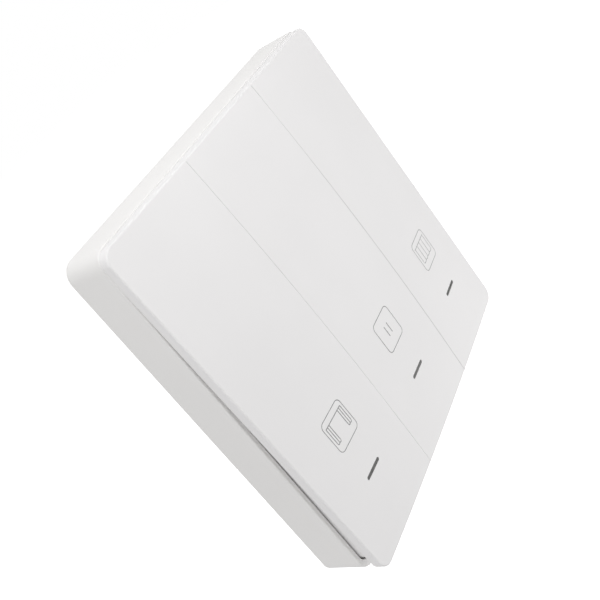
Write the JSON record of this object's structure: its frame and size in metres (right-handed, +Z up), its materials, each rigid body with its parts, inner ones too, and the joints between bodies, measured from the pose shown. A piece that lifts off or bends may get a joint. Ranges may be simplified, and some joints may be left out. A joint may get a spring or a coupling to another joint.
{
  "type": "roller shutter switch",
  "caption": "Square surface-mounted wall switch for a roller shutter: tall hinged keys side by side under a pillow front, each with a line pictogram and a status slit.",
  "frame": {"origin": "centre of the back face that lies on the wall", "axes": "+X to the right seen from the front, +Z up the wall, +Y into the wall, so the keys face -Y"},
  "size_m": [0.086, 0.0158, 0.086],
  "materials": {
    "housing_white": "fine satin",
    "key_white": "fine satin",
    "tray_white": "satin",
    "smoked_window": "smoked gloss",
    "board_green": "solder mask",
    "black_plastic": "matte",
    "plunger_grey": "matte",
    "lamp_lens": "clear lens",
    "steel": "plated"
  },
  "bodies": {
    "base": {"housing": "housing_white", "wall_plate": "tray_white", "circuit_board": "board_green", "board_screws": "steel", "coin_cell": "steel", "battery_holder": "black_plastic", "contact_clip": "steel", "contact_spring": "steel", "radio_chip": "black_plastic", "crystal_can": "steel", "led_resistors": "black_plastic", "switch_case_open": "black_plastic", "switch_case_pause": "black_plastic", "switch_case_close": "black_plastic", "led_open": "lamp_lens", "led_pause": "lamp_lens", "led_close": "lamp_lens"},
    "key_body_open": {"key_open": "key_white", "light_guide_open": "smoked_window"},
    "plunger_body_open": {"switch_plunger_open": "plunger_grey"},
    "key_body_pause": {"key_pause": "key_white", "light_guide_pause": "smoked_window"},
    "plunger_body_pause": {"switch_plunger_pause": "plunger_grey"},
    "key_body_close": {"key_close": "key_white", "light_guide_close": "smoked_window"},
    "plunger_body_close": {"switch_plunger_close": "plunger_grey"}
  },
  "joints": [
    {"name": "key_hinge_open", "type": "hinge", "parent": "base", "child": "key_body_open", "pos_m": [-0.02867, -0.0078, 0.0382], "axis": [1, 0, 0], "range_deg": [0, 1], "stiffness_Nm_per_rad": 2, "springref_deg": -0.57},
    {"name": "plunger_slide_open", "type": "slide", "parent": "base", "child": "plunger_body_open", "axis": [0, 1, 0], "range_m": [0, 0.00055]},
    {"name": "key_hinge_pause", "type": "hinge", "parent": "base", "child": "key_body_pause", "pos_m": [0, -0.0078, 0.0382], "axis": [1, 0, 0], "range_deg": [0, 1], "stiffness_Nm_per_rad": 2, "springref_deg": -0.57},
    {"name": "plunger_slide_pause", "type": "slide", "parent": "base", "child": "plunger_body_pause", "axis": [0, 1, 0], "range_m": [0, 0.00055]},
    {"name": "key_hinge_close", "type": "hinge", "parent": "base", "child": "key_body_close", "pos_m": [0.02867, -0.0078, 0.0382], "axis": [1, 0, 0], "range_deg": [0, 1], "stiffness_Nm_per_rad": 2, "springref_deg": -0.57},
    {"name": "plunger_slide_close", "type": "slide", "parent": "base", "child": "plunger_body_close", "axis": [0, 1, 0], "range_m": [0, 0.00055]}
  ],
  "couplings": [
    {"joint": "plunger_slide_open", "follows": "key_hinge_open", "m_per_rad": 0.03},
    {"joint": "plunger_slide_pause", "follows": "key_hinge_pause", "m_per_rad": 0.03},
    {"joint": "plunger_slide_close", "follows": "key_hinge_close", "m_per_rad": 0.03}
  ]
}
